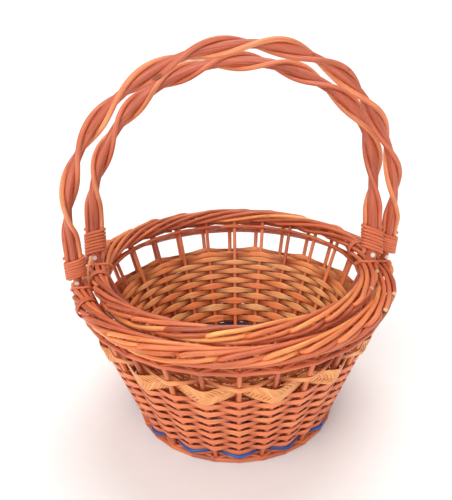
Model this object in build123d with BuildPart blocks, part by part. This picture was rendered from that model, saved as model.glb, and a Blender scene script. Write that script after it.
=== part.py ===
"""Two round willow baskets, one nested in the other, each with an arched and lapped handle.

Frame: origin on the floor under the middle of the outer basket, +Z up, +X to the baskets'
right, +Y to their back. Millimetres and degrees.
"""

import os
from dataclasses import dataclass
from math import copysign, cos, hypot, radians, sin, sqrt, tan

from build123d import *

# Driving dimensions shared by both baskets.
WALL_RUN = 0.353  # outward run of the wall per millimetre of height
CLEARANCE = 0.12  # between a rod and the channel that is woven round it
LEG_TURN = 22.0  # the leg's tips lean in by this much to follow the wall
LEG_BEND_RADIUS = 25.0
BINDING_THICKNESS = 1.4
STICK_RADIUS = 1.7
STICK_PITCH = 5.2
STICKS_EACH_WAY = 4
STRAP_THICKNESS = 0.9
STRAP_WIDTH = 3.2
NAIL_RADIUS = 0.8
NAIL_HEAD_RADIUS = 2.1
NAIL_HEAD_THICKNESS = 1.0
NAIL_LENGTH = 7.0


@dataclass
class Handle:
    """An arched bow in one leaning plane, over two feet that stand on the border."""

    bow_radius: float
    lapping_radius: float
    foot_height: float
    foot_radius: tuple  # of the left and right foot, from the basket's axis
    foot_angle: tuple
    lean: float  # away from the front, from upright
    crown_offset: float  # of the arch's top towards the right foot
    crown_height: float
    shoulder_height: tuple  # where the straight legs end and the arch begins
    haunch_radius: tuple
    corner_height: float  # where the legs turn in towards the wall
    tip_height: float
    binding_height: tuple  # underside and top of the cane wrapped round the feet
    nail_height: float
    strap_angle: tuple
    leg_room: float  # least turn between a leg and the stakes beside it


@dataclass
class Basket:
    """One basket; heights of its bands are measured from its own underside."""

    name: str
    underside: float
    stake_count: int
    stake_radius: float
    stake_phase: float
    stake_foot_radius: float  # of the stakes' circle at the underside
    base_radius: float
    base_thickness: float
    wale_height: float
    foot_outer_radius: float
    blue: tuple
    siding: tuple
    braid: tuple
    pairing: tuple
    top_wale: tuple
    wale_depth: float
    rim_radius: float
    rim_height: float
    rim_thickness: float
    handle: Handle

    def wall_radius(self, height):
        """Radius of the stakes' circle at a height above the underside."""
        return self.stake_foot_radius + WALL_RUN * height


outer = Basket(
    name="outer",
    underside=0.0,
    stake_count=28,
    stake_radius=2.25,
    stake_phase=1.5,
    stake_foot_radius=92.3,
    base_radius=87.6,
    base_thickness=6.4,
    wale_height=8.8,
    foot_outer_radius=98.7,
    blue=(9.0, 12.8),
    siding=(13.0, 90.4),
    braid=(90.8, 106.2),
    pairing=(106.6, 110.2),
    top_wale=(127.6, 133.0),
    wale_depth=5.6,
    rim_radius=141.0,
    rim_height=143.0,
    rim_thickness=17.8,
    handle=Handle(
        bow_radius=3.6,
        lapping_radius=2.2,
        foot_height=165.0,
        foot_radius=(144.0, 145.4),
        foot_angle=(194.5, 3.5),
        lean=-9.2,
        crown_offset=3.8,
        crown_height=356.0,
        shoulder_height=(211.5, 198.0),
        haunch_radius=(120.0, 175.0),
        corner_height=152.0,
        tip_height=84.0,
        binding_height=(158.5, 181.0),
        nail_height=155.0,
        strap_angle=(206.3, 14.3),
        leg_room=3.0,
    ),
)

inner = Basket(
    name="inner",
    underside=29.0,
    stake_count=24,
    stake_radius=2.0,
    stake_phase=-1.0,
    stake_foot_radius=81.8,
    base_radius=77.4,
    base_thickness=6.2,
    wale_height=7.6,
    foot_outer_radius=87.0,
    blue=(7.8, 11.2),
    siding=(11.4, 80.4),
    braid=(),
    pairing=(80.8, 84.4),
    top_wale=(109.6, 114.0),
    wale_depth=5.0,
    rim_radius=124.4,
    rim_height=123.4,
    rim_thickness=16.6,
    handle=Handle(
        bow_radius=4.6,
        lapping_radius=2.15,
        foot_height=175.0,
        foot_radius=(127.6, 127.9),
        foot_angle=(180.5, -2.0),
        lean=14.9,
        crown_offset=6.0,
        crown_height=332.3,
        shoulder_height=(208.7, 240.0),
        haunch_radius=(105.0, 82.0),
        corner_height=160.5,
        tip_height=106.0,
        binding_height=(167.0, 190.0),
        nail_height=164.2,
        strap_angle=(192.9, 12.9),
        leg_room=3.6,
    ),
)

SIDES = (("left", -1, 0), ("right", 1, 1))
STRIP_DEPTH = 1.3  # of the flat strips, on each face of the stakes
BRAID_DEPTH = 2.4
PAIRING_DEPTH = 2.6
BLUE_DEPTH = 3.6


def stake_angles(basket):
    """Directions of the stakes, with any beside a leg of the handle standing clear of it."""
    angles = []
    for stake in range(basket.stake_count):
        angle = basket.stake_phase + 360.0 * stake / basket.stake_count
        for leg in basket.handle.foot_angle:
            away = (angle - leg + 180.0) % 360.0 - 180.0
            if abs(away) < basket.handle.leg_room:
                angle = leg + copysign(basket.handle.leg_room, away)
        angles.append(angle)
    return angles


def stake_rods(basket, radius):
    """All stakes of a basket as straight rods that lean out with the wall."""
    low = 1.2
    high = basket.rim_height - basket.rim_thickness / 2 - 1.0
    foot = Vector(basket.wall_radius(low), 0, basket.underside + low)
    top = Vector(basket.wall_radius(high), 0, basket.underside + high)
    with BuildPart() as rod:
        with BuildSketch(Plane(origin=foot, z_dir=top - foot)):
            Circle(radius)
        extrude(amount=(top - foot).length)
    with BuildPart() as rods:
        for angle in stake_angles(basket):
            add(rod.part.rotate(Axis.Z, angle))
    return rods.part


def wall_band(basket, heights, depth, channels):
    """A closed band round the stakes, depth proud of them inside and out."""
    low, high = heights
    reach = basket.stake_radius + depth
    low_radius = basket.wall_radius(low)
    high_radius = basket.wall_radius(high)
    with BuildPart() as band:
        with BuildSketch(Plane.XZ):
            with BuildLine():
                Polyline(
                    (low_radius - reach, basket.underside + low),
                    (low_radius + reach, basket.underside + low),
                    (high_radius + reach, basket.underside + high),
                    (high_radius - reach, basket.underside + high),
                    close=True,
                )
            make_face()
        revolve(axis=Axis.Z)
        for channel in channels:
            add(channel, mode=Mode.SUBTRACT)
    return band.part


def foot_wale(basket, channels):
    """The rounded ring of waling that the basket stands on."""
    inner_radius = basket.base_radius + 0.3
    width = basket.foot_outer_radius - inner_radius
    middle = (inner_radius + width / 2, basket.underside + basket.wale_height / 2)
    with BuildPart() as wale:
        with BuildSketch(Plane.XZ):
            with Locations(middle):
                RectangleRounded(width, basket.wale_height, 2.4)
        revolve(axis=Axis.Z)
        for channel in channels:
            add(channel, mode=Mode.SUBTRACT)
    return wale.part


def border(basket, channels):
    """The rolled border of turned-down stakes, as one ring of its outer size."""
    with BuildPart() as ring:
        with Locations((0, 0, basket.underside + basket.rim_height)):
            Torus(basket.rim_radius, basket.rim_thickness / 2)
        for channel in channels:
            add(channel, mode=Mode.SUBTRACT)
    return ring.part


def base_sticks(basket, radius):
    """Two crossed layers of sticks, the lower along X and the upper along Y."""
    middle = basket.underside + 2.0 + basket.base_thickness / 2
    layer_shift = STICK_RADIUS + 0.05
    last = STICK_PITCH * (STICKS_EACH_WAY - 1) / 2
    half_length = sqrt((basket.base_radius - 3.0) ** 2 - last**2)
    lower = Plane.YZ.offset(-half_length)
    upper = Plane.XZ.offset(-half_length)
    with BuildPart() as sticks:
        with BuildSketch(lower):
            with Locations((0, middle - layer_shift)):
                with GridLocations(STICK_PITCH, 0, STICKS_EACH_WAY, 1):
                    Circle(radius)
        extrude(amount=2 * half_length)
        with BuildSketch(upper):
            with Locations((0, middle + layer_shift)):
                with GridLocations(STICK_PITCH, 0, STICKS_EACH_WAY, 1):
                    Circle(radius)
        extrude(amount=2 * half_length)
    return sticks.part


def base_weave(basket):
    """The round woven base, closed over the crossed sticks."""
    with BuildPart() as base:
        with BuildSketch(Plane.XY.offset(basket.underside + 2.0)):
            Circle(basket.base_radius)
        extrude(amount=basket.base_thickness)
        add(base_sticks(basket, STICK_RADIUS + CLEARANCE), mode=Mode.SUBTRACT)
    return base.part


def foot_point(handle, which):
    """Where one leg of the bow crosses the level of the handle's feet."""
    angle = radians(handle.foot_angle[which])
    reach = handle.foot_radius[which]
    return Vector(reach * cos(angle), reach * sin(angle), handle.foot_height)


def arch_plane(handle):
    """The leaning plane of the arch: its x runs from foot to foot and its y up the arch."""
    left, right = foot_point(handle, 0), foot_point(handle, 1)
    across = (right - left).normalized()
    lean = radians(handle.lean)
    back = Vector(-across.Y, across.X, 0)
    rise = back * sin(lean) + Vector(0, 0, cos(lean))
    return Plane(origin=(left + right) / 2, x_dir=across, z_dir=across.cross(rise))


def plane_rise(handle, height):
    """A height above the floor as a distance up the leaning plane from the feet."""
    return (height - handle.foot_height) / cos(radians(handle.lean))


def leg_tip(handle, corner):
    """The lower end of a leg, which leans straight in from its corner to follow the wall."""
    drop = corner.Z - handle.tip_height
    inward = Vector(-corner.X, -corner.Y, 0).normalized()
    return corner + inward * (drop * tan(radians(LEG_TURN))) - Vector(0, 0, drop)


def haunch_joint(half_span, rise, haunch_radius):
    """The point where a haunch arc passes smoothly into the flatter or sharper crown arc."""
    inset = half_span - haunch_radius
    crown_radius = (inset**2 + rise**2 - haunch_radius**2) / (2 * (rise - haunch_radius))
    drop = crown_radius - rise
    sign = 1 if crown_radius > haunch_radius else -1
    scale = sign * haunch_radius / hypot(inset, drop)
    return Vector(inset * (1 + scale), drop * scale)


def arch_line(handle, shift, leg_height):
    """The arch from one leg to the other, moved out by shift, with its legs cut at leg_height.

    Without a leg_height the legs go on past their bend, down inside the wall to their tips.
    """
    plane = arch_plane(handle)
    half_feet = (foot_point(handle, 1) - foot_point(handle, 0)).length / 2
    crown_rise = plane_rise(handle, handle.crown_height) + shift
    crown = plane.from_local_coords(Vector(handle.crown_offset, crown_rise, 0))
    with BuildLine() as arch:
        for _, side, which in SIDES:
            reach = half_feet + shift
            shoulder_rise = plane_rise(handle, handle.shoulder_height[which])
            shoulder = plane.from_local_coords(Vector(side * reach, shoulder_rise, 0))
            joint = haunch_joint(
                reach - side * handle.crown_offset,
                crown_rise - shoulder_rise,
                handle.haunch_radius[which] + shift,
            )
            turn_point = plane.from_local_coords(
                Vector(handle.crown_offset + side * joint.X, shoulder_rise + joint.Y, 0)
            )
            haunch = TangentArc(shoulder, turn_point, tangent=plane.y_dir)
            TangentArc(turn_point, crown, tangent=haunch % 1)
            if leg_height is None:
                corner_rise = plane_rise(handle, handle.corner_height)
                corner = plane.from_local_coords(Vector(side * reach, corner_rise, 0))
                FilletPolyline(shoulder, corner, leg_tip(handle, corner), radius=LEG_BEND_RADIUS)
            else:
                cut_rise = plane_rise(handle, leg_height)
                Line(shoulder, plane.from_local_coords(Vector(side * reach, cut_rise, 0)))
    return arch.line


def swept_rod(path, radius):
    """A round rod along a path."""
    start = path.edges().sort_by(Axis.Z)[0]
    end = 0 if (start @ 0).Z < (start @ 1).Z else 1
    with BuildPart() as rod:
        with BuildSketch(Plane(origin=start @ end, z_dir=start % end)):
            Circle(radius)
        sweep(path=path)
    return rod.part


def nail(handle, side, radius, head):
    """A nail through the bow from the front, or its hole when it has no head."""
    plane = arch_plane(handle)
    half_feet = (foot_point(handle, 1) - foot_point(handle, 0)).length / 2
    nail_rise = plane_rise(handle, handle.nail_height)
    spot = plane.from_local_coords(Vector(side * half_feet, nail_rise, 0))
    start = Plane(origin=spot + plane.z_dir * (handle.bow_radius + 0.25), z_dir=-plane.z_dir)
    with BuildPart() as pin:
        with BuildSketch(start):
            Circle(radius)
        extrude(amount=NAIL_LENGTH)
        if head:
            with BuildSketch(start):
                Circle(NAIL_HEAD_RADIUS)
            extrude(amount=-NAIL_HEAD_THICKNESS)
    return pin.part


def binding(handle, side):
    """Cane wrapped round one foot of the bow and its two lapping rods."""
    low, high = (plane_rise(handle, height) for height in handle.binding_height)
    half_feet = (foot_point(handle, 1) - foot_point(handle, 0)).length / 2
    beside = handle.bow_radius + handle.lapping_radius + CLEARANCE
    half_width = beside + handle.lapping_radius + BINDING_THICKNESS
    half_depth = handle.bow_radius + BINDING_THICKNESS
    plane = arch_plane(handle)
    bottom = Plane(
        origin=plane.from_local_coords(Vector(side * half_feet, low, 0)),
        x_dir=plane.x_dir,
        z_dir=plane.y_dir,
    )
    with BuildPart() as wrap:
        with BuildSketch(bottom):
            SlotOverall(2 * half_width, 2 * half_depth)
            Circle(handle.bow_radius + CLEARANCE, mode=Mode.SUBTRACT)
            with Locations((-beside, 0), (beside, 0)):
                Circle(handle.lapping_radius + CLEARANCE / 2, mode=Mode.SUBTRACT)
        extrude(amount=high - low)
    return wrap.part


def lashing(basket, which):
    """The cane strap that goes once round the border beside a foot of the handle."""
    angle = radians(basket.handle.strap_angle[which])
    outward = Vector(cos(angle), sin(angle), 0)
    spot = outward * basket.rim_radius + Vector(0, 0, basket.underside + basket.rim_height)
    across = Plane(origin=spot, x_dir=outward, z_dir=Vector(-sin(angle), cos(angle), 0))
    inside = basket.rim_thickness / 2 + 0.1
    with BuildPart() as strap:
        with BuildSketch(across):
            Circle(inside + STRAP_THICKNESS)
            Circle(inside, mode=Mode.SUBTRACT)
        extrude(amount=STRAP_WIDTH / 2, both=True)
    return strap.part


def make_handle(basket):
    """The handle's pieces by node name, and the channel that its bow needs in the weave."""
    handle = basket.handle
    beside = handle.bow_radius + handle.lapping_radius + CLEARANCE
    bow_line = arch_line(handle, 0.0, None)
    wrap_bottom = handle.binding_height[0]
    with BuildPart() as bow:
        add(swept_rod(bow_line, handle.bow_radius))
        for _, side, _ in SIDES:
            add(nail(handle, side, NAIL_RADIUS + 0.05, False), mode=Mode.SUBTRACT)
    with BuildPart() as nails:
        for _, side, _ in SIDES:
            add(nail(handle, side, NAIL_RADIUS, True))
    outside_line = arch_line(handle, beside, wrap_bottom)
    inside_line = arch_line(handle, -beside, wrap_bottom)
    pieces = {
        "handle_bow": bow.part,
        "handle_lapping_rod_a": swept_rod(outside_line, handle.lapping_radius),
        "handle_lapping_rod_b": swept_rod(inside_line, handle.lapping_radius),
        "handle_nails": nails.part,
    }
    for label, side, which in SIDES:
        pieces[label + "_binding"] = binding(handle, side)
        pieces[label + "_lashing"] = lashing(basket, which)
    return pieces, swept_rod(bow_line, handle.bow_radius + CLEARANCE)


def make_basket(basket):
    """Every piece of one basket, by node name."""
    pieces, bow_channel = make_handle(basket)
    stake_channels = stake_rods(basket, basket.stake_radius + CLEARANCE)
    woven = [stake_channels, bow_channel]
    pieces["stakes"] = stake_rods(basket, basket.stake_radius)
    pieces["base_sticks"] = base_sticks(basket, STICK_RADIUS)
    pieces["base_weave"] = base_weave(basket)
    pieces["foot_wale"] = foot_wale(basket, [stake_channels])
    pieces["blue_weaver"] = wall_band(basket, basket.blue, BLUE_DEPTH, [stake_channels])
    pieces["siding"] = wall_band(basket, basket.siding, STRIP_DEPTH, woven)
    if basket.braid:
        pieces["braid"] = wall_band(basket, basket.braid, BRAID_DEPTH, woven)
    pieces["pairing"] = wall_band(basket, basket.pairing, PAIRING_DEPTH, woven)
    pieces["top_wale"] = wall_band(
        basket, basket.top_wale, basket.wale_depth - basket.stake_radius, woven
    )
    pieces["border"] = border(basket, [bow_channel])
    return pieces


os.makedirs("parts", exist_ok=True)
for basket in (outer, inner):
    for piece, part in make_basket(basket).items():
        part.label = basket.name + "_" + piece
        export_step(part, "parts/" + part.label + ".step")
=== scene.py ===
"""Two nested willow baskets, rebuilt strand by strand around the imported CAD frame.

Every woven CAD ring is replaced by the rods and strips that it stands for. Metres throughout,
+Z up, +X to the baskets' right, +Y to their back; angles round the baskets are in radians.
"""

from math import cos, pi, radians, sin

import bpy
import numpy as np
from mathutils import Matrix, Vector


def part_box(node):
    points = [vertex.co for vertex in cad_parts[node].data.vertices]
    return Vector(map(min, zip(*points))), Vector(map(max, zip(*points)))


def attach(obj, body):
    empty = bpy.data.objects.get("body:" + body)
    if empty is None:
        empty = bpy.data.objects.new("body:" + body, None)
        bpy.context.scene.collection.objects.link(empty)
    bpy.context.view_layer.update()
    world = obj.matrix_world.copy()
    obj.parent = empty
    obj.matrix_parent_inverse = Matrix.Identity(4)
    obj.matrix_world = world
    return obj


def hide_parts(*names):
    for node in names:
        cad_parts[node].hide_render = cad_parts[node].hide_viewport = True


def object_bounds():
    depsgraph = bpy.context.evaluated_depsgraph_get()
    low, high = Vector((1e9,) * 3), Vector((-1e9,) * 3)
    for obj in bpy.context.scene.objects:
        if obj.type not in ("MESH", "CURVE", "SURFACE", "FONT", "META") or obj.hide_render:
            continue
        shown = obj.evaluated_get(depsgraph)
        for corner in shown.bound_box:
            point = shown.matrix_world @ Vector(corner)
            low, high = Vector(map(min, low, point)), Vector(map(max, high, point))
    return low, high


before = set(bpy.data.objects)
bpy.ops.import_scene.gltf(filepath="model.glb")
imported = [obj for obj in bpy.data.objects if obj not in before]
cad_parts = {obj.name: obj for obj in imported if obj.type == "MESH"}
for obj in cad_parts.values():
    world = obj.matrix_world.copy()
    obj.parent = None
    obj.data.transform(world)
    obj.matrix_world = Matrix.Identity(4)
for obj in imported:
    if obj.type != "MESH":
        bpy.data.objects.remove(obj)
cad_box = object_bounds()
rng = np.random.default_rng(20)
MM = 0.001
FULL = 2 * pi

WALL_RUN = 0.353  # outward run of the walls per metre of height
STAKE_RADIUS = {"outer": 2.25 * MM, "inner": 2.0 * MM}
BOW_RADIUS = {"outer": 3.6 * MM, "inner": 4.6 * MM}
LAPPING_RADIUS = {"outer": 2.2 * MM, "inner": 2.15 * MM}
WALL_DEPTH = 1.3 * MM  # from the stakes' faces to the outside of the CAD siding
STEPS = 8  # samples of a woven strand from one stake to the next
UP = np.array([0, 0, 1.0])

# Section exponents, from a circle towards a rectangle.
ROUND, SOFT_ROUND, CANE, STRAW, STRIP = 2.0, 2.1, 2.4, 3.0, 3.4

STRIP_THICKNESS = 1.05 * MM
STRIP_SAG = 1.3 * MM  # how far a strip dips where it passes in front of a stake
PAIRING_WIDTH = (5.6 * MM, 4.2 * MM)  # at a stake and between stakes
PAIRING_THICKNESS = 1.5 * MM
PAIRING_SAG = 2.6 * MM
BLUE_ROD = 3.7 * MM
BLUE_SAG = 0.8 * MM

TOP_WALE_ROD = 3.7 * MM
TOP_WALE_SAG = 2.3 * MM
FOOT_WALE_ROD = 4.2 * MM
FOOT_WALE_SAG = 1.8 * MM
FOOT_WALE_DEPTH = 5.2 * MM  # from the foot's edge to the middle of its rods' swing
FOOT_WALE_REACH = 2.6 * MM
WALE_START = 10.5  # stakes round from the first one, where the wales begin and end

BORDER_ROD = 4.2 * MM
BORDER_PACE = 90 / 27  # turn round the bundle per turn round the basket
BORDER_RUNS = ((-80, 26, False), (16, 228, True))  # degrees round the bundle, and whether kneed
BLUNT_MIDDLE = radians(-24)  # the side where the border was closed with cut rods
BLUNT_HALF = radians(15)

BINDING_TURNS = 7
BINDING_CANE = (2.9 * MM, 2.2 * MM)  # width and thickness


# ---------------------------------------------------------------- materials


class Nodes:
    """A material's node tree with short ways to add and join nodes."""

    def __init__(self, name):
        self.material = bpy.data.materials.new(name)
        self.material.use_nodes = True
        self.tree = self.material.node_tree
        self.shader = self.tree.nodes["Principled BSDF"]

    def add(self, kind, **values):
        node = self.tree.nodes.new(kind)
        for key, value in values.items():
            setattr(node, key, value)
        return node

    def join(self, a, b):
        self.tree.links.new(a, b)

    def attribute(self, name):
        return self.add("ShaderNodeAttribute", attribute_name=name)

    def noise(self, vector, scale, detail, roughness=0.5):
        """Noise over the strand's own straightened space, scaled along and across it."""
        mapping = self.add("ShaderNodeMapping", vector_type="POINT")
        mapping.inputs["Scale"].default_value = scale
        self.join(vector, mapping.inputs["Vector"])
        noise = self.add("ShaderNodeTexNoise")
        noise.inputs["Scale"].default_value = 1.0
        noise.inputs["Detail"].default_value = detail
        noise.inputs["Roughness"].default_value = roughness
        self.join(mapping.outputs["Vector"], noise.inputs["Vector"])
        return noise.outputs["Fac"]

    def ramp(self, value, stops):
        ramp = self.add("ShaderNodeValToRGB")
        elements = ramp.color_ramp.elements
        while len(elements) < len(stops):
            elements.new(0.5)
        for element, (place, color) in zip(elements, stops):
            element.position = place
            element.color = (*color, 1.0) if len(color) == 3 else color
        self.join(value, ramp.inputs["Fac"])
        return ramp.outputs["Color"]

    def math(self, operation, a, b):
        node = self.add("ShaderNodeMath", operation=operation)
        for socket, value in zip(node.inputs, (a, b)):
            if isinstance(value, (int, float)):
                socket.default_value = value
            else:
                self.join(value, socket)
        return node.outputs[0]

    def mix(self, kind, share, a, b):
        node = self.add("ShaderNodeMix", data_type="RGBA", blend_type=kind)
        for socket, value in zip((node.inputs[0], node.inputs[6], node.inputs[7]), (share, a, b)):
            if isinstance(value, (int, float)):
                socket.default_value = value
            elif isinstance(value, tuple):
                socket.default_value = (*value, 1.0)
            else:
                self.join(value, socket)
        return node.outputs[2]


TONE_PLACES = (0.0, 0.35, 0.7, 1.0)
MOTTLE_SCALE = (28, 90, 90)  # waves per metre along and across a strand
KNOT_SCALE = (55, 160, 160)
STREAKS = [(0.3, (0.55, 0.47, 0.42)), (0.52, (1, 1, 1)), (0.75, (1.12, 1.15, 1.2))]
KNOT_COLOR = (0.16, 0.05, 0.02)
# painted shade: this colour is multiplied into woven strands where they cross the stakes
PAINTED_SHADE_COLOR = (0.38, 0.24, 0.20)
CUT_COLOR = (0.86, 0.62, 0.34)


def plant(name, tones, grain, pores, bump, gloss, speck):
    """Varnished willow, straw or cane: tones by strand, streaks along it, knots, pale cut ends, and painted
    shade where woven strands cross the stakes.

    Grain and pores are the streaks' waves along and across a strand, gloss the least roughness,
    and speck the noise level above which there is a knot.
    """
    n = Nodes(name)
    lay = n.attribute("lay").outputs["Vector"]
    strand = n.attribute("strand").outputs["Fac"]
    mottle = n.noise(lay, MOTTLE_SCALE, 3, 0.6)
    streak = n.noise(lay, (grain, pores, pores), 4, 0.65)
    shade = n.math("ADD", strand, n.math("MULTIPLY", n.math("SUBTRACT", mottle, 0.5), 0.9))
    base = n.ramp(shade, list(zip(TONE_PLACES, tones)))
    color = n.mix("MULTIPLY", 0.8, base, n.ramp(streak, STREAKS))
    knots = n.noise(lay, KNOT_SCALE, 2, 0.4)
    knot = n.ramp(knots, [(0.0, (0, 0, 0)), (speck, (0, 0, 0)), (speck + 0.05, (0.7, 0.7, 0.7))])
    color = n.mix("MIX", knot, color, KNOT_COLOR)
    # painted shade: the strand is darkened where it crosses a stake
    painted_shade = n.attribute("painted_shade").outputs["Fac"]
    color = n.mix("MULTIPLY", painted_shade, color, PAINTED_SHADE_COLOR)
    cut = n.attribute("cut").outputs["Fac"]
    color = n.mix("MIX", cut, color, CUT_COLOR)
    n.join(color, n.shader.inputs["Base Color"])
    rough = n.math("ADD", n.math("MULTIPLY", streak, 0.3), gloss)
    n.join(rough, n.shader.inputs["Roughness"])
    n.shader.inputs["Coat Weight"].default_value = 0.12
    n.shader.inputs["Coat Roughness"].default_value = 0.22
    n.shader.inputs["Specular IOR Level"].default_value = 0.4
    node = n.add("ShaderNodeBump")
    node.inputs["Strength"].default_value = bump
    node.inputs["Distance"].default_value = 0.4 * MM
    height = n.math("ADD", streak, n.math("MULTIPLY", mottle, 1.5))
    n.join(height, node.inputs["Height"])
    n.join(node.outputs["Normal"], n.shader.inputs["Normal"])
    return n.material


def steel(name):
    """A pale, bright wire nail with fine marks."""
    n = Nodes(name)
    place = n.add("ShaderNodeTexCoord").outputs["Object"]
    marks = n.noise(place, (900, 900, 3000), 3)
    color = n.ramp(marks, [(0.3, (0.78, 0.74, 0.62)), (0.7, (0.95, 0.92, 0.80))])
    n.join(color, n.shader.inputs["Base Color"])
    n.join(n.math("ADD", n.math("MULTIPLY", marks, 0.3), 0.15), n.shader.inputs["Roughness"])
    n.shader.inputs["Metallic"].default_value = 0.35
    bump = n.add("ShaderNodeBump")
    bump.inputs["Strength"].default_value = 0.2
    bump.inputs["Distance"].default_value = 0.1 * MM
    n.join(marks, bump.inputs["Height"])
    n.join(bump.outputs["Normal"], n.shader.inputs["Normal"])
    return n.material


def paper(name):
    """The plain pale floor."""
    n = Nodes(name)
    place = n.add("ShaderNodeTexCoord").outputs["Object"]
    fibres = n.noise(place, (60, 60, 60), 2)
    color = n.ramp(fibres, [(0.0, (0.93, 0.93, 0.93)), (1.0, (0.97, 0.97, 0.97))])
    n.join(color, n.shader.inputs["Base Color"])
    n.shader.inputs["Roughness"].default_value = 0.9
    return n.material


PLANTS = {
    "handle_willow": dict(
        tones=((0.36, 0.08, 0.04), (0.57, 0.135, 0.07), (0.75, 0.20, 0.095), (0.92, 0.36, 0.15)),
        grain=30, pores=700, bump=0.35, gloss=0.22, speck=0.70,
    ),
    "border_willow": dict(
        tones=((0.46, 0.10, 0.045), (0.69, 0.165, 0.065), (0.84, 0.25, 0.085), (0.97, 0.46, 0.14)),
        grain=30, pores=650, bump=0.35, gloss=0.22, speck=0.70,
    ),
    "stake_willow": dict(
        tones=((0.48, 0.115, 0.05), (0.68, 0.175, 0.075), (0.80, 0.225, 0.09), (0.88, 0.29, 0.12)),
        grain=30, pores=650, bump=0.35, gloss=0.26, speck=0.70,
    ),
    "woven_strip": dict(
        tones=((0.74, 0.175, 0.07), (0.90, 0.235, 0.09), (0.95, 0.32, 0.11), (0.95, 0.54, 0.22)),
        grain=22, pores=1100, bump=0.5, gloss=0.30, speck=0.72,
    ),
    "straw_braid": dict(
        tones=((0.74, 0.27, 0.085), (0.86, 0.35, 0.12), (0.92, 0.42, 0.155), (0.96, 0.50, 0.20)),
        grain=24, pores=1500, bump=0.5, gloss=0.32, speck=0.74,
    ),
    "blue_weaver": dict(
        tones=((0.006, 0.04, 0.20), (0.010, 0.065, 0.29), (0.014, 0.085, 0.35), (0.026, 0.11, 0.42)),
        grain=30, pores=500, bump=0.2, gloss=0.22, speck=0.80,
    ),
    "cane_binding": dict(
        tones=((0.42, 0.09, 0.045), (0.66, 0.16, 0.07), (0.82, 0.22, 0.09), (0.92, 0.34, 0.13)),
        grain=26, pores=1200, bump=0.4, gloss=0.24, speck=0.72,
    ),
    "base_willow": dict(
        tones=((0.46, 0.15, 0.06), (0.60, 0.22, 0.09), (0.70, 0.30, 0.14), (0.78, 0.38, 0.18)),
        grain=30, pores=650, bump=0.35, gloss=0.30, speck=0.70,
    ),
}
MATERIALS = {name: plant(name, **look) for name, look in PLANTS.items()}
NAIL = steel("nail_steel")


# ---------------------------------------------------------------- strands


def unit(v):
    return v / np.maximum(np.linalg.norm(v, axis=-1, keepdims=True), 1e-12)


def smooth_noise(count, waves):
    """A slow random wobble between about -1 and 1 over count samples of one turn."""
    t = np.linspace(0, FULL, count, endpoint=False)
    out = np.zeros(count)
    for wave in range(1, waves + 1):
        out += rng.normal() * np.cos(wave * t + rng.uniform(0, FULL)) / wave**0.5
    return out / waves**0.5


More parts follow.
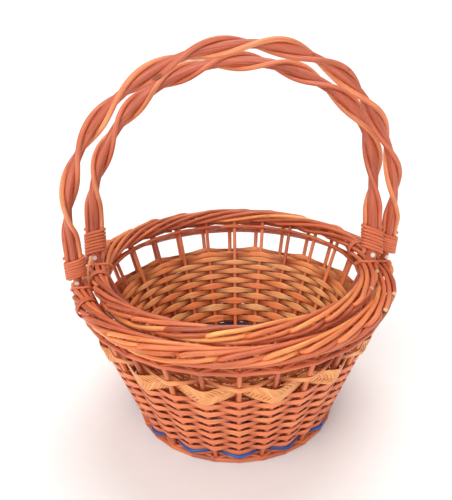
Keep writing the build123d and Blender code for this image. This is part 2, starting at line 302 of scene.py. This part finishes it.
class Strands:
    """One mesh made of many swept strands, each knowing its own length, section and tone."""

    def __init__(self):
        self.points, self.faces, self.smooth = [], [], []
        self.lay, self.tone, self.cut, self.painted_shade = [], [], [], []
        self.count = 0

    def _push(self, points, lay, tone, cut, painted_shade):
        start = self.count
        self.points.append(points)
        self.lay.append(lay)
        self.tone.append(np.full(len(points), tone))
        self.cut.append(np.full(len(points), cut))
        self.painted_shade.append(painted_shade)
        self.count += len(points)
        return start

    def sweep(
        self, path, toward, width, depth, section=ROUND, sides=8,
        closed=False, tone=None, cut=0.0, swing=None,
    ):
        """Sweeps a section along path: depth lies toward the given direction, width across it.

        Swing says how far each sample is woven outward (1) or inward (-1): the face that turns to the stakes
        there is darkened with painted shade.
        """
        path = np.asarray(path, float)
        count = len(path)
        ahead = np.roll(path, -1, 0) - np.roll(path, 1, 0)
        if not closed:
            ahead[0] = path[1] - path[0]
            ahead[-1] = path[-1] - path[-2]
        ahead = unit(ahead)
        toward = np.broadcast_to(np.asarray(toward, float), path.shape)
        normal = unit(toward - (toward * ahead).sum(1, keepdims=True) * ahead)
        across = np.cross(ahead, normal)
        angle = np.arange(sides) * FULL / sides
        power = 2.0 / section
        u = np.sign(np.cos(angle)) * np.abs(np.cos(angle)) ** power
        v = np.sign(np.sin(angle)) * np.abs(np.sin(angle)) ** power
        width = np.broadcast_to(width, (count,))[:, None] / 2
        depth = np.broadcast_to(depth, (count,))[:, None] / 2
        su, sv = width * u, depth * v
        points = path[:, None] + across[:, None] * su[..., None] + normal[:, None] * sv[..., None]
        step = np.linalg.norm(np.diff(path, axis=0), axis=1)
        along = np.concatenate([[0], np.cumsum(step)])[:, None] + np.zeros(sides)
        shift = rng.uniform(0, 40)
        tone = rng.uniform(0, 1) if tone is None else tone
        lay = np.stack([along + shift, su + shift, sv - shift], -1)
        # painted shade: where the strand crosses a stake, the face turned to it is darkened, most where it
        # touches the stake
        painted_shade = np.zeros((count, sides))
        if swing is not None:
            face = np.sign(np.round(v, 3))  # 1 on the outer face and -1 on the inner one
            painted_shade = np.clip(0.42 - 0.8 * swing[:, None] * face, 0, 1)
        start = self._push(points.reshape(-1, 3), lay.reshape(-1, 3), tone, 0.0, painted_shade.ravel())
        rows = count if closed else count - 1
        i, j = np.meshgrid(np.arange(rows), np.arange(sides), indexing="ij")
        i2, j2 = (i + 1) % count, (j + 1) % sides
        quads = np.stack([i * sides + j, i2 * sides + j, i2 * sides + j2, i * sides + j2], -1)
        quads = (quads.reshape(-1, 4) + start)[:, ::-1]
        self.faces += quads.tolist()
        self.smooth += [True] * len(quads)
        if not closed:
            for row, flip in ((0, False), (count - 1, True)):
                ring = self._push(points[row], lay[row], tone, cut, painted_shade[row])
                face = [ring + k for k in range(sides)]
                self.faces.append(face[::-1] if flip else face)
                self.smooth.append(False)

    def make(self, name, body, slot, *nodes):
        """The finished piece, riding on its body in place of the CAD nodes it stands for."""
        mesh = bpy.data.meshes.new(name)
        points = np.concatenate(self.points)
        mesh.from_pydata(points.tolist(), [], self.faces)
        mesh.polygons.foreach_set("use_smooth", self.smooth)
        lay = mesh.attributes.new("lay", "FLOAT_VECTOR", "POINT")
        lay.data.foreach_set("vector", np.concatenate(self.lay).astype(np.float32).ravel())
        # the painted shade is stored as a point attribute beside the tone and the cut ends
        for key, values in (("strand", self.tone), ("cut", self.cut), ("painted_shade", self.painted_shade)):
            attribute = mesh.attributes.new(key, "FLOAT", "POINT")
            attribute.data.foreach_set("value", np.concatenate(values).astype(np.float32))
        mesh.materials.append(MATERIALS[slot])
        mesh.update()
        piece = bpy.data.objects.new(name, mesh)
        bpy.context.scene.collection.objects.link(piece)
        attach(piece, body)
        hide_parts(*nodes)
        return piece


# ---------------------------------------------------------------- one basket


class Basket:
    """The levels and radii of one basket, read from its CAD boxes, with its weave's counts."""

    def __init__(
        self, name, rows, row_width, opening, strip_tones, blue_drop, half_turns, first_turn,
    ):
        self.name = name
        self.body = name + "_basket"
        self.rows = rows
        self.row_width = row_width  # of a strip at a stake and between stakes
        self.opening = opening  # how much taller the lowest row is than the middle one, as a share
        self.strip_tones = strip_tones
        self.blue_drop = blue_drop  # of the blue rod below the middle of its CAD ring
        self.half_turns = half_turns  # of the lapping rods round the bow
        self.first_turn = first_turn  # where they start, in half turns
        low, high = self.box("border")
        self.rim_thickness = high.z - low.z
        self.rim_height = (high.z + low.z) / 2
        self.rim_radius = high.y - self.rim_thickness / 2
        low, high = self.box("foot_wale")
        self.underside = low.z
        self.foot_radius = high.y
        self.stake_radius = STAKE_RADIUS[name]
        low, high = self.box("siding")
        self.level = high.z
        self.level_radius = high.y - self.stake_radius - WALL_DEPTH
        self.angles = stake_angles(self.node("stakes"), low.z)
        self.stakes = len(self.angles)
        front = int(np.argmin(np.abs(self.angles - 1.5 * pi)))
        self.front = front % 2  # the parity of the stake nearest the front

    def node(self, piece):
        return self.name + "_" + piece

    def box(self, piece):
        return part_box(self.node(piece))

    def wall(self, z):
        """Radius of the stakes' circle at a level."""
        return self.level_radius + WALL_RUN * (z - self.level)


def wall_frame(angle, radius, z):
    """Points round the basket and the wall's outward direction there."""
    out = np.stack([np.cos(angle), np.sin(angle), np.zeros_like(angle)], 1)
    points = out * np.asarray(radius)[:, None]
    points[:, 2] = z
    normal = unit(out - np.array([0, 0, WALL_RUN]))
    return points, normal


def edges_of(node):
    """The two ends of every edge of a CAD node."""
    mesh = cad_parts[node].data
    points = np.zeros(len(mesh.vertices) * 3)
    mesh.vertices.foreach_get("co", points)
    pairs = np.zeros(len(mesh.edges) * 2, int)
    mesh.edges.foreach_get("vertices", pairs)
    points, pairs = points.reshape(-1, 3), pairs.reshape(-1, 2)
    return points[pairs[:, 0]], points[pairs[:, 1]]


def stake_angles(node, z):
    """Directions of the stakes, where a level crosses them in the CAD frame."""
    a, b = edges_of(node)
    crossing = (a[:, 2] - z) * (b[:, 2] - z) < 0
    share = ((z - a[:, 2]) / (b[:, 2] - a[:, 2] + 1e-12))[crossing, None]
    cuts = a[crossing] + (b[crossing] - a[crossing]) * share
    turn = np.sort(np.arctan2(cuts[:, 1], cuts[:, 0]) % FULL)
    gap = radians(3)
    groups = np.split(turn, np.flatnonzero(np.diff(turn) > gap) + 1)
    if turn[0] + FULL - turn[-1] < gap:
        groups[0] = np.concatenate([groups[-1] - FULL, groups[0]])
        groups.pop()
    return np.array([(group.min() + group.max()) / 2 for group in groups])


def stake_order(basket, angle):
    """Where an angle falls among the stakes: whole numbers are stakes."""
    count = basket.stakes
    order = np.arange(-count, 2 * count)
    known = np.concatenate([basket.angles + turn * FULL for turn in (-1, 0, 1)])
    return np.interp(angle, known, order)


def angle_at(basket, order):
    """The direction of a place among the stakes, the other way round."""
    count = basket.stakes
    turns = np.floor(np.asarray(order) / count)
    known = np.concatenate([basket.angles, basket.angles[:1] + FULL])
    return np.interp(order - turns * count, np.arange(count + 1), known) + turns * FULL


def weave_row(strands, basket, z, parity, width, depth, reach, section, sag, tone=None, wobble=1.0):
    """One strand woven in front of every second stake, at one level.

    Width is its width at a stake and between stakes, reach how far it swings out and in, and
    sag how far it dips in front of a stake.
    """
    order = np.arange(basket.stakes * STEPS) / STEPS
    angle = angle_at(basket, order)
    wave = pi * (order + basket.front + parity)
    swing = (np.cos(wave) + 0.11 * np.cos(3 * wave) + 0.035 * np.cos(5 * wave)) / 1.145
    level = z - sag * swing + smooth_noise(len(angle), 9) * 0.3 * MM * wobble
    radius = basket.wall(level) + swing * reach + smooth_noise(len(angle), 12) * 0.15 * MM
    points, normal = wall_frame(angle, radius, level)
    at_stake, between = width
    wide = between + (at_stake - between) * np.abs(np.cos(wave)) ** 1.3
    wide = wide * (1 + 0.04 * smooth_noise(len(angle), 20))
    strands.sweep(points, normal, wide, depth, section, 10, closed=True, tone=tone, swing=swing)


def siding(basket):
    """The wall's rows of flat strips, each row in front of the stakes that its neighbours pass behind."""
    low, high = basket.box("siding")
    strands = Strands()
    heights = 1 + basket.opening * np.linspace(-1, 1, basket.rows)  # the rows' shares of the wall
    tops = high.z - (high.z - low.z) * np.concatenate([[0], np.cumsum(heights)]) / heights.sum()
    reach = basket.stake_radius + 0.55 * MM
    for row in range(basket.rows):
        z = (tops[row] + tops[row + 1]) / 2
        width = tuple(wide * heights[row] for wide in basket.row_width)
        tone = rng.uniform(*basket.strip_tones)
        weave_row(strands, basket, z, row, width, STRIP_THICKNESS, reach, STRIP, STRIP_SAG, tone)
    strands.make(basket.node("siding_strips"), basket.body, "woven_strip", basket.node("siding"))


def pairing(basket):
    """The single strip that ties the stakes at the foot of the gallery."""
    low, high = basket.box("pairing")
    strands = Strands()
    z = (low.z + high.z) / 2
    reach = basket.stake_radius + 0.7 * MM
    weave_row(
        strands, basket, z, 0, PAIRING_WIDTH, PAIRING_THICKNESS, reach, STRIP, PAIRING_SAG, tone=0.7,
    )
    strands.make(basket.node("pairing_strips"), basket.body, "woven_strip", basket.node("pairing"))


def blue_weaver(basket):
    """The blue round rod above the foot, in front of every second stake."""
    low, high = basket.box("blue_weaver")
    strands = Strands()
    level = (low.z + high.z) / 2 - basket.blue_drop
    reach = basket.stake_radius + BLUE_ROD / 2
    weave_row(
        strands, basket, level, 0, (BLUE_ROD, BLUE_ROD), BLUE_ROD, reach, ROUND, BLUE_SAG, wobble=0.5,
    )
    strands.make(basket.node("blue_rod"), basket.body, "blue_weaver", basket.node("blue_weaver"))


def wale(basket, node, piece, size, radius_at, reach, sag):
    """Three rods, each in front of two stakes, where it sags, and then behind one."""
    low, high = basket.box(node)
    middle = (low.z + high.z) / 2
    strands = Strands()
    rounds = np.arange(basket.stakes * STEPS + 1) / STEPS
    ends = np.clip(np.minimum(rounds, basket.stakes - rounds) * 2, 0, 1)
    for rod in range(3):
        order = rounds + WALE_START
        angle = angle_at(basket, order)
        turn = FULL * ((order - rod) / 3 + 1 / 6)
        swing = np.clip(4 / 3 * np.cos(turn) + 1 / 3, -1, 1)
        swing = swing + 0.22 * np.clip(swing, 0, 1) * np.cos(pi * order) ** 8
        swing = swing * ends - (1 - ends)
        z = middle - sag * swing + smooth_noise(len(angle), 12) * 0.2 * MM
        points, normal = wall_frame(angle, radius_at(z) + swing * reach, z)
        thick = size * (1 + 0.05 * smooth_noise(len(angle), 14))
        strands.sweep(points, normal, thick, thick, ROUND, 9, tone=rng.uniform(0, 0.5))
    strands.make(basket.node(piece), basket.body, "border_willow", basket.node(node))


def stakes(basket):
    """The upright stakes, from the foot to where they bend into the border."""
    strands = Strands()
    top = basket.rim_height - basket.rim_thickness / 2 + 2.5 * MM
    z = np.linspace(basket.underside + 1.4 * MM, top, 14)
    for at in basket.angles:
        angle = at + smooth_noise(len(z), 3) * 0.002
        points, normal = wall_frame(angle, basket.wall(z), z)
        taper = np.linspace(1.03, 0.94, len(z))
        thick = 2 * basket.stake_radius * (1 + 0.03 * smooth_noise(len(z), 4)) * taper
        strands.sweep(points, normal, thick, thick, ROUND, 10)
    strands.make(basket.node("stake_rods"), basket.body, "stake_willow", basket.node("stakes"))


def border(basket):
    """The rolled border: each stake's rod climbs round the bundle, over its top and in.

    Every stake gives two runs of rod. One comes up from below and dives under its neighbour, and
    the other starts with a knee at the outer upper face, or with a pale cut end.
    """
    bundle = basket.rim_thickness / 2 - BORDER_ROD / 2 - 0.2 * MM
    count = 60
    share = np.linspace(0, 1, count)
    knee = np.clip(1 - share / 0.06, 0, 1)
    knuckle = np.exp(-(((share - 0.09) / 0.06) ** 2))
    taper = np.linspace(1.03, 0.9, count)
    strands = Strands()
    for at in basket.angles:
        for first, last, kneed in BORDER_RUNS:
            first, last = first + rng.normal() * 3, last + rng.normal() * 4
            roll = np.radians(np.linspace(first, last, count))
            angle = at + roll / BORDER_PACE
            blunt = kneed and np.cos(angle[0] - BLUNT_MIDDLE) > cos(BLUNT_HALF)
            rise = 0.5 * MM * smooth_noise(count, 3) + 0.45 * MM * rng.normal()
            if blunt:
                rise += 1.6 * MM * np.clip(1 - share / 0.3, 0, 1)
            elif kneed:
                rise += 1.9 * MM * knuckle - 5.0 * MM * knee**1.5
                roll = roll - radians(16) * knee
                angle = angle + radians(0.8) * knee
            else:
                rise -= 4.6 * MM * np.clip((share - 0.8) / 0.2, 0, 1) ** 1.5
            rise -= 2.5 * MM * np.clip((share - 0.93) / 0.07, 0, 1)
            out = np.stack([np.cos(angle), np.sin(angle), np.zeros(count)], 1)
            section = out * np.cos(roll)[:, None] + UP * np.sin(roll)[:, None]
            points = out * basket.rim_radius + section * (bundle + rise)[:, None]
            points[:, 2] += basket.rim_height
            thick = BORDER_ROD * rng.uniform(0.92, 1.04) * (1 + 0.03 * smooth_noise(count, 5)) * taper
            tone = rng.beta(1.5, 2.0)  # most rods are red, a few are yellow
            strands.sweep(points, section, thick, thick, ROUND, 10, tone=tone, cut=float(blunt))
    strands.make(basket.node("border_rods"), basket.body, "border_willow", basket.node("border"))


def braid(basket):
    """The flat straw plait, woven as one band in front of every second stake."""
    low, high = basket.box("braid")
    middle = (low.z + high.z) / 2
    plies, periods, samples = 9, 28, 22  # strands, their waves round the band, samples of a wave
    half = (high.z - low.z) / 2 - 0.8 * MM
    strands = Strands()
    for ply in range(plies):
        angle = np.arange(periods * samples) * FULL / (periods * samples)
        turn = angle * periods + FULL * ply / plies
        lift = np.sin(2 * turn) * 0.5 * MM
        wave = pi * (stake_order(basket, angle) + basket.front + 1)
        swing = (np.cos(wave) + 0.1 * np.cos(3 * wave)) / 1.1
        up = np.cos(turn) * half * (1 + 0.16 * swing)
        z = middle + up - 3.0 * MM * swing + smooth_noise(len(angle), 10) * 0.25 * MM
        radius = basket.wall(middle + up) + swing * (basket.stake_radius + 1.4 * MM) + lift
        points, normal = wall_frame(angle, radius, z)
        wide = 3.5 * MM * (1 + 0.05 * smooth_noise(len(angle), 16))
        tone = rng.uniform(0.3, 0.7)
        strands.sweep(points, normal, wide, 0.7 * MM, STRAW, 8, closed=True, tone=tone)
    strands.make(basket.node("straw_plait"), basket.body, "straw_braid", basket.node("braid"))


def base(basket):
    """The round base: crossed sticks that fan out, with rods woven over and under them."""
    low, high = basket.box("base_weave")
    middle = (low.z + high.z) / 2
    radius = (high.x - low.x) / 2
    stick_low, stick_high = basket.box("base_sticks")
    stick = (stick_high.z - stick_low.z) / 2
    heart = 12 * MM  # half the side of the square where the sticks cross
    gap = 5.2 * MM  # between neighbouring sticks there
    reach = radius - 1.5 * MM
    strands = Strands()
    for layer, side in ((0, -1), (1, 1)):
        for place in (-1.5, -0.5, 0.5, 1.5):
            fan = place * radians(22.5)
            end, aside = reach * sin(fan), place * gap
            along = np.array([-reach * cos(fan), -heart, -heart / 3, heart / 3, heart, reach * cos(fan)])
            beside = np.array([end, aside, aside, aside, aside, end])
            t = np.linspace(0, 5, 31)
            along, beside = np.interp(t, np.arange(6), along), np.interp(t, np.arange(6), beside)
            for line in (along, beside):
                line[1:-1] = np.convolve(line, (0.2, 0.6, 0.2), "valid")
            over = np.clip(1.6 - np.hypot(along, beside) / (1.6 * heart), 0, 1)
            level = middle + side * (stick / 2) * over
            x, y = (along, beside) if layer == 0 else (beside, along)
            points = np.stack([x, y, level], 1)
            strands.sweep(points, UP, 3.2 * MM, 3.2 * MM, ROUND, 9)
    strands.make(basket.node("base_spokes"), basket.body, "base_willow", basket.node("base_sticks"))
    strands = Strands()
    rod = 3.0 * MM
    ends = 16  # of the sticks, round the base
    count = ends * 8
    for ring in range(int((radius - 1.6 * heart) / rod)):
        angle = np.arange(count) * FULL / count
        swing = np.cos(ends / 2 * (angle - pi / ends) + pi * ring)
        z = middle + swing * (high.z - low.z - rod) / 2
        points, _ = wall_frame(angle, np.full(count, radius - rod / 2 - ring * rod), z)
        strands.sweep(points, UP, rod, rod * 0.95, ROUND, 8, closed=True)
    strands.make(basket.node("base_rods"), basket.body, "base_willow", basket.node("base_weave"))


# ---------------------------------------------------------------- handles


def slice_middle(edges, origin, normal, side):
    """The middle of a rod where a plane crosses it, on the side that faces side."""
    a, b = edges
    da, db = (a - origin) @ normal, (b - origin) @ normal
    crossing = (da * db < 0)
    share = (da[crossing] / (da[crossing] - db[crossing]))[:, None]
    cuts = a[crossing] + (b[crossing] - a[crossing]) * share
    cuts = cuts[(cuts - origin) @ side > 0]
    return (cuts.min(0) + cuts.max(0)) / 2


def bow_line(basket):
    """The bow's centre line from its left tip to its right tip, cut from the CAD bow."""
    edges = edges_of(basket.node("handle_bow"))
    springing = basket.box("left_binding")[1].z
    heights = np.linspace(basket.box("handle_bow")[0].z + 3 * MM, springing, 40)
    left, right = (
        [slice_middle(edges, z * UP, UP, np.array([side, 0, 0])) for z in heights]
        for side in (-1.0, 1.0)
    )
    arch = []
    for turn in np.radians(np.linspace(179, 1, 150)):
        ray = np.array([cos(turn), 0, sin(turn)])
        normal = np.array([-sin(turn), 0, cos(turn)])
        arch.append(slice_middle(edges, springing * UP, normal, ray))
    line = np.array(left + arch + right[::-1])
    for _ in range(3):
        line[1:-1] = (line[:-2] + 2 * line[1:-1] + line[2:]) / 4
    return line, springing


def lengths(points):
    """The length along a line from its start to each of its points."""
    return np.concatenate([[0], np.cumsum(np.linalg.norm(np.diff(points, axis=0), axis=1))])


def resample(points, count):
    """The same line with evenly spaced points."""
    step = lengths(points)
    even = np.linspace(0, step[-1], count)
    return np.stack([np.interp(even, step, points[:, k]) for k in range(3)], 1)


def at_height(z, leg, values):
    """The values that belong to a leg's points, at other heights on it."""
    return np.stack([np.interp(z, leg[:, 2], values[:, k]) for k in range(3)], -1)


def arch_of(basket, line, springing):
    """The bow above its bindings' lower ends, its outward directions and the one to the front."""
    above = np.flatnonzero(line[:, 2] > basket.box("left_binding")[0].z - 1 * MM)
    arch = line[above[0]:above[-1] + 1]
    forward = unit(np.cross(arch[-1] - arch[0], arch[len(arch) // 2] - arch[0]))
    forward = forward * (1 if forward[1] < 0 else -1)
    outward = unit(np.cross(unit(np.gradient(arch, axis=0)), forward))
    middle = np.array([arch[:, 0].mean(), arch[:, 1].mean(), springing])
    outward = outward * np.sign(((arch - middle) * outward).sum(1).mean())
    return arch, outward, forward


def lapping_turn(basket, arch, springing):
    """The first lapping rod's angle round the bow, which stays still under the bindings."""
    step = lengths(arch)
    on = arch[:, 2] > springing
    start, end = step[on][0], step[on][-1]
    share = (step - start) / (end - start)
    turn = pi * (basket.half_turns * share + basket.first_turn) * np.clip(share / 0.06, 0, 1)
    late = np.clip((share - 0.96) / 0.04, 0, 1)
    return turn * (1 - late) + pi * round(basket.half_turns + basket.first_turn) * late


def handle(basket):
    """The bow, the two rods lapped round it, their cane bindings and the lashings."""
    line, springing = bow_line(basket)
    bow, lap = BOW_RADIUS[basket.name], LAPPING_RADIUS[basket.name]
    facing = (0, -1.0, 0.2)
    strands = Strands()
    wide = 2 * bow * (1 + 0.02 * smooth_noise(len(line), 6))
    strands.sweep(line, facing, wide, 2 * bow, ROUND, 16, tone=0.35)
    strands.make(basket.node("bow"), basket.body, "handle_willow", basket.node("handle_bow"))
    arch, outward, forward = arch_of(basket, line, springing)
    turn = lapping_turn(basket, arch, springing)
    reach = (bow + lap) * 0.985  # pressed a little into the bow
    for letter, spin, tone in (("a", turn, 0.55), ("b", turn + pi, 0.85)):
        strands = Strands()
        around = np.cos(spin)[:, None] * outward - np.sin(spin)[:, None] * forward
        points = resample(arch + reach * around, 420)
        thick = 2 * lap * (1 + 0.04 * smooth_noise(len(points), 9))
        strands.sweep(points, facing, thick, thick, ROUND, 10, tone=tone)
        node = basket.node("handle_lapping_rod_" + letter)
        strands.make(basket.node("lapping_rod_" + letter), basket.body, "handle_willow", node)
    for label in ("left", "right"):
        bind(basket, label, arch, outward, forward)
        lash(basket, label, line)


def bind(basket, label, arch, outward, forward):
    """Turns of flat cane round a foot of the bow and its lapping rods."""
    low, high = basket.box(label + "_binding")
    bow, lap = BOW_RADIUS[basket.name], LAPPING_RADIUS[basket.name]
    cane, thickness = BINDING_CANE
    half = len(arch) // 2
    left = label == "left"
    leg, normals = (arch[:half], outward[:half]) if left else (arch[::-1][:half], outward[::-1][:half])
    count = BINDING_TURNS * 36
    t = np.linspace(0, BINDING_TURNS, count)
    tuck = 3.0 * MM * np.clip(t - BINDING_TURNS + 1, 0, 1) ** 2
    z = low.z + cane + (high.z - low.z - 2.2 * cane) * t / BINDING_TURNS + tuck
    side = unit(at_height(z, leg, normals))
    spin = FULL * t
    wide = bow + 2 * lap + 0.5 * MM
    deep = bow + 0.9 * MM
    power = 2 / 2.6  # between an ellipse and a rectangle
    u = np.sign(np.cos(spin)) * np.abs(np.cos(spin)) ** power
    v = np.sign(np.sin(spin)) * np.abs(np.sin(spin)) ** power
    around = side * (wide * u)[:, None] + forward * (deep * v)[:, None]
    points = at_height(z, leg, leg) + around
    points[:, 2] += 0.9 * MM * np.sin(spin) + 0.4 * MM * smooth_noise(count, 14)
    points[:, 2] += (0.22 if left else -0.32) * around[:, 0]  # square to the leaning leg
    strands = Strands()
    width = cane * (1 + 0.06 * smooth_noise(count, 12))
    strands.sweep(points, unit(around), width, thickness, SOFT_ROUND, 10, tone=0.45)
    strands.make(basket.node(label + "_cane"), basket.body, "cane_binding", basket.node(label + "_binding"))


def lash(basket, label, line):
    """Two loops of cane round the border, and a strand that crosses the leg below its nail."""
    low, high = basket.box(label + "_lashing")
    middle = (low + high) / 2
    at = np.arctan2(middle.y, middle.x)
    strands = Strands()
    reach = basket.rim_thickness / 2 + 0.4 * MM
    spacing = 3.4 * MM / basket.rim_radius
    roll = np.arange(48) * FULL / 48
    for shift in (-0.5, 0.5):
        angle = at + shift * spacing + 0.012 * np.sin(roll + 0.6)
        out = np.stack([np.cos(angle), np.sin(angle), np.zeros(len(roll))], 1)
        section = out * np.cos(roll)[:, None] + UP * np.sin(roll)[:, None]
        points = out * basket.rim_radius + section * reach
        points[:, 2] += basket.rim_height
        strands.sweep(points, section, 3.0 * MM, 1.6 * MM, CANE, 10, closed=True, tone=0.3)
    half = len(line) // 2
    left = label == "left"
    leg = line[:half] if left else line[::-1][:half]
    foot = at_height(basket.rim_height + basket.rim_thickness / 2 - 0.6 * MM, leg, leg)
    foot[0] += (3.0 if left else -3.0) * MM
    roll = np.linspace(0.93, 2.07, 40) * pi  # past the front half of a turn round the leg
    dive = 6.0 * MM * np.abs(np.cos(roll)) ** 6
    ring = np.stack([10.0 * MM * np.cos(roll), 7.2 * MM * np.sin(roll), -dive], 1)
    strands.sweep(foot + ring, UP, 2.4 * MM, 2.6 * MM, ROUND, 10, tone=0.6)
    strands.make(basket.node(label + "_strap"), basket.body, "cane_binding", basket.node(label + "_lashing"))


# ---------------------------------------------------------------- assembly


def build(basket):
    """All the pieces of one basket, each in the place of its CAD node."""
    siding(basket)
    pairing(basket)
    blue_weaver(basket)
    wale(
        basket, "top_wale", "top_wale_rods", TOP_WALE_ROD, basket.wall,
        basket.stake_radius + 1.7 * MM, TOP_WALE_SAG,
    )
    foot = basket.foot_radius - FOOT_WALE_DEPTH
    wale(
        basket, "foot_wale", "foot_wale_rods", FOOT_WALE_ROD, lambda z: np.full_like(z, foot),
        FOOT_WALE_REACH, FOOT_WALE_SAG,
    )
    stakes(basket)
    border(basket)
    if basket.name == "outer":
        braid(basket)
    base(basket)
    handle(basket)
    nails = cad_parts[basket.node("handle_nails")].data.materials
    nails.clear()
    nails.append(NAIL)


outer = Basket(
    "outer", rows=15, row_width=(7.3 * MM, 5.0 * MM), opening=0.0, strip_tones=(0.15, 0.6),
    blue_drop=0.0, half_turns=9.267, first_turn=-0.236,
)
inner = Basket(
    "inner", rows=13, row_width=(7.0 * MM, 4.4 * MM), opening=0.2, strip_tones=(0.6, 1.0),
    blue_drop=2.6 * MM, half_turns=8.467, first_turn=-0.319,
)
for one in (outer, inner):
    build(one)

# ---------------------------------------------------------------- floor, light and camera

FLOOR_SIZE = 60.0
WORLD_STRENGTH = 0.40
bpy.ops.mesh.primitive_plane_add(size=FLOOR_SIZE, location=(0, 0, cad_box[0].z))
floor = bpy.context.object
floor.name = "floor"
floor.data.materials.append(paper("floor_paper"))


def soft_sun(name, toward, angle, strength, color):
    """An even light from one side; its angle in the sky is in degrees, as wide as a softbox."""
    light = bpy.data.lights.new(name, "SUN")
    light.angle = radians(angle)
    light.energy = strength
    light.color = color
    lamp = bpy.data.objects.new(name, light)
    lamp.rotation_euler = (-Vector(toward)).to_track_quat("-Z", "Y").to_euler()
    bpy.context.scene.collection.objects.link(lamp)


soft_sun("key", (-0.3, -0.8, 0.8), 60, 2.1, (1.0, 0.98, 0.96))
soft_sun("top", (0.1, 0.35, 1.0), 40, 1.4, (1.0, 0.98, 0.95))

world = bpy.data.worlds.new("studio")
world.use_nodes = True
world.node_tree.nodes["Background"].inputs["Color"].default_value = (1.0, 1.0, 1.0, 1.0)
world.node_tree.nodes["Background"].inputs["Strength"].default_value = WORLD_STRENGTH
bpy.context.scene.world = world
bpy.context.scene.view_settings.view_transform = "Standard"

# The camera was fitted to where the borders, walls, foot and bows lie in the photo.
CAMERA_PLACE = (0.0, -0.5401, 0.4117)
CAMERA_LENS = 45.74
CAMERA_YAW, CAMERA_PITCH, CAMERA_ROLL = -0.012, 0.425, -0.021
camera_data = bpy.data.cameras.new("camera")
camera_data.sensor_width = 36.0
camera_data.lens = CAMERA_LENS
camera_data.clip_start, camera_data.clip_end = 0.01, 30.0
camera = bpy.data.objects.new("camera", camera_data)
look = Vector((
    sin(CAMERA_YAW) * cos(CAMERA_PITCH),
    cos(CAMERA_YAW) * cos(CAMERA_PITCH),
    -sin(CAMERA_PITCH),
))
right = look.cross(Vector((0, 0, 1))).normalized()
up = right.cross(look)
right, up = (
    cos(CAMERA_ROLL) * right + sin(CAMERA_ROLL) * up,
    -sin(CAMERA_ROLL) * right + cos(CAMERA_ROLL) * up,
)
camera.matrix_world = Matrix.Translation(CAMERA_PLACE) @ Matrix((right, up, -look)).transposed().to_4x4()
bpy.context.scene.collection.objects.link(camera)
bpy.context.scene.camera = camera
